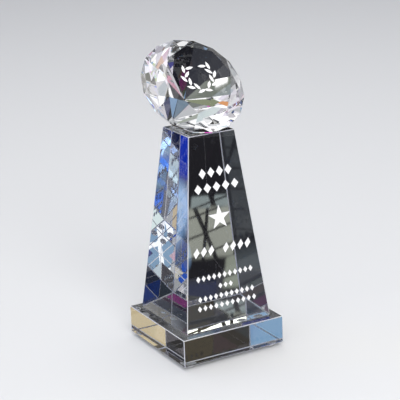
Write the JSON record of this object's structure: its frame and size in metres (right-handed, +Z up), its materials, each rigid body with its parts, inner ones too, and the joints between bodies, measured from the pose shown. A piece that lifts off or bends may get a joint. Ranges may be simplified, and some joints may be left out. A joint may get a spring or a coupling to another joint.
{
  "type": "star trophy",
  "caption": "Clear crystal award: a brilliant-cut diamond lying on a tapered square column that stands on a square slab, with an engraved front face.",
  "frame": {"origin": "centre of the square footprint, on the table plane under the feet", "axes": "+Z up the column, -Y out of the engraved front face, +X to the right as seen from the front"},
  "size_m": [0.085, 0.085, 0.2279],
  "materials": {
    "crystal": "polished optical crystal with fine ground edges and frosted white engraving",
    "adhesive": "thin clear cured adhesive",
    "silicone": "soft translucent silicone, slightly cloudy"
  },
  "bodies": {
    "root": {"base_slab": "crystal", "tapered_column": "crystal", "diamond": "crystal", "column_bond": "adhesive", "diamond_bond": "adhesive", "foot_front_left": "silicone", "foot_front_right": "silicone", "foot_back_left": "silicone", "foot_back_right": "silicone"}
  },
  "joints": []
}
